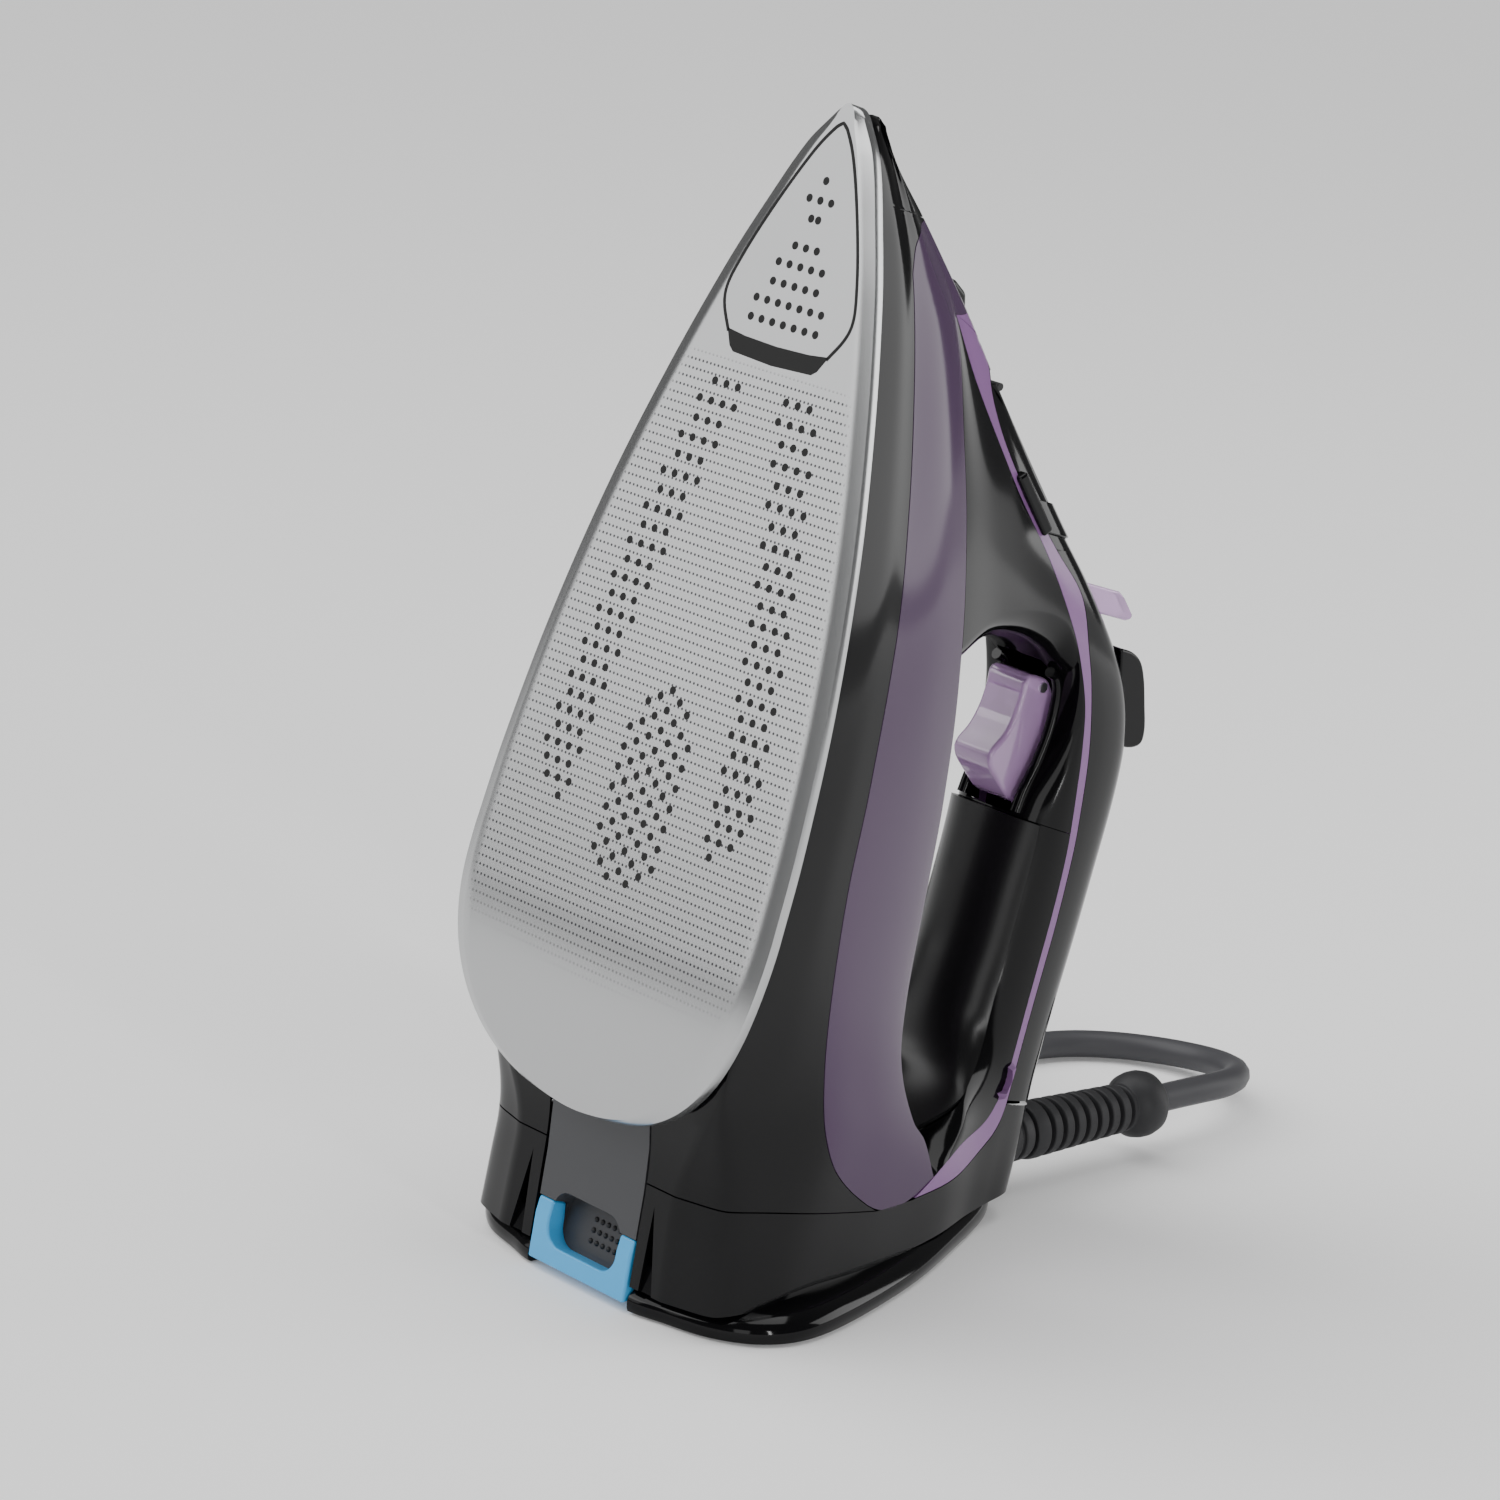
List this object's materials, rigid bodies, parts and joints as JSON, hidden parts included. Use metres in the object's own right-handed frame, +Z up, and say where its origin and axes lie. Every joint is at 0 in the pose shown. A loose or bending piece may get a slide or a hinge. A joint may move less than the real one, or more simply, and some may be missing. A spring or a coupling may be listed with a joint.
{
  "type": "clothes iron",
  "caption": "Steam iron standing on its heel, with looped handle, trigger, spray button, steam lever, dial, filler door, scale drawer and coiled mains cord.",
  "frame": {"origin": "centre of the iron on the surface it stands on, cord, coil and plug left out", "axes": "+Z up from heel to nose, the soleplate faces -Y, +X to the right of someone facing the soleplate"},
  "size_m": [0.243, 0.3059, 0.3194],
  "materials": {
    "soleplate_metal": "fine satin ceramic-metal face with bright bevel",
    "housing_black": "high gloss black",
    "matt_black": "fine matt black",
    "tank_purple": "tinted smoky purple, glossy",
    "band_purple": "light purple, glossy",
    "control_lilac": "translucent lilac, glossy",
    "dial_purple": "dark purple, glossy",
    "drawer_grey": "satin grey",
    "trim_blue": "satin light blue",
    "seal_rubber": "matt black seal",
    "cord_rubber": "matt dark grey",
    "steel": "plain steel",
    "brass": "plain brass",
    "cast_aluminium": "as cast",
    "ceramic": "unglazed ceramic"
  },
  "bodies": {
    "iron": {"soleplate": "soleplate_metal", "skirt_seal": "seal_rubber", "steam_chamber": "cast_aluminium", "chamber_cover": "cast_aluminium", "heating_element": "steel", "thermostat": "steel", "thermal_fuse": "ceramic", "drip_valve": "brass", "lower_housing": "housing_black", "water_tank": "tank_purple", "tank_floor": "tank_purple", "deck_cover": "tank_purple", "front_shell": "housing_black", "handle_grip": "matt_black", "handle_band": "band_purple", "inlet_cover": "housing_black", "handle_spine": "housing_black", "inlet_neck": "seal_rubber", "inlet_door_pin": "steel", "spray_nozzle": "matt_black", "trigger_pin": "steel", "trigger_spring": "steel", "lever_pin": "steel", "heel_housing": "housing_black", "heel_rim": "housing_black", "cord_bush": "cord_rubber", "cord": "cord_rubber", "cord_tail": "cord_rubber", "cord_coil": "cord_rubber", "cord_tie": "matt_black", "plug_body": "matt_black", "plug_pin_left": "brass", "plug_pin_right": "brass"},
    "steam_trigger": {"steam_trigger": "control_lilac"},
    "spray_button": {"spray_button": "housing_black"},
    "steam_lever": {"steam_lever": "control_lilac"},
    "temperature_dial": {"temperature_dial": "dial_purple"},
    "inlet_door": {"inlet_door": "housing_black"},
    "calc_drawer": {"calc_drawer": "drawer_grey", "drawer_trim": "trim_blue"},
    "cord_guard": {"cord_guard": "cord_rubber"}
  },
  "joints": [
    {"name": "steam_trigger_hinge", "type": "hinge", "parent": "iron", "child": "steam_trigger", "pos_m": [0, 0.05703, 0.15416], "axis": [1, 0, 0], "range_deg": [0, 6], "stiffness_Nm_per_rad": 0.25, "springref_deg": -8.59},
    {"name": "spray_button_press", "type": "slide", "parent": "iron", "child": "spray_button", "axis": [0, -0.9659, 0.2588], "range_m": [0, 0.004], "stiffness_N_per_m": 400, "springref_m": -0.002},
    {"name": "steam_lever_swing", "type": "hinge", "parent": "iron", "child": "steam_lever", "pos_m": [0, 0.05752, 0.18301], "axis": [0, 0.5774, -0.8165], "range_deg": [-10, 10]},
    {"name": "temperature_dial_turn", "type": "hinge", "parent": "iron", "child": "temperature_dial", "pos_m": [0, -0.00734, 0.08392], "axis": [0, 0.9942, -0.1078], "range_deg": [0, 270]},
    {"name": "inlet_door_hinge", "type": "hinge", "parent": "iron", "child": "inlet_door", "pos_m": [0, 0.02163, 0.24305], "axis": [1, 0, 0], "range_deg": [0, 65]},
    {"name": "calc_drawer_slide", "type": "slide", "parent": "iron", "child": "calc_drawer", "axis": [0, -0.2588, -0.9659], "range_m": [0, 0.035]},
    {"name": "cord_guard_swivel", "type": "hinge", "parent": "iron", "child": "cord_guard", "pos_m": [0, 0.0793, 0.0153], "axis": [0, 1, 0], "range_deg": [-45, 45]}
  ]
}
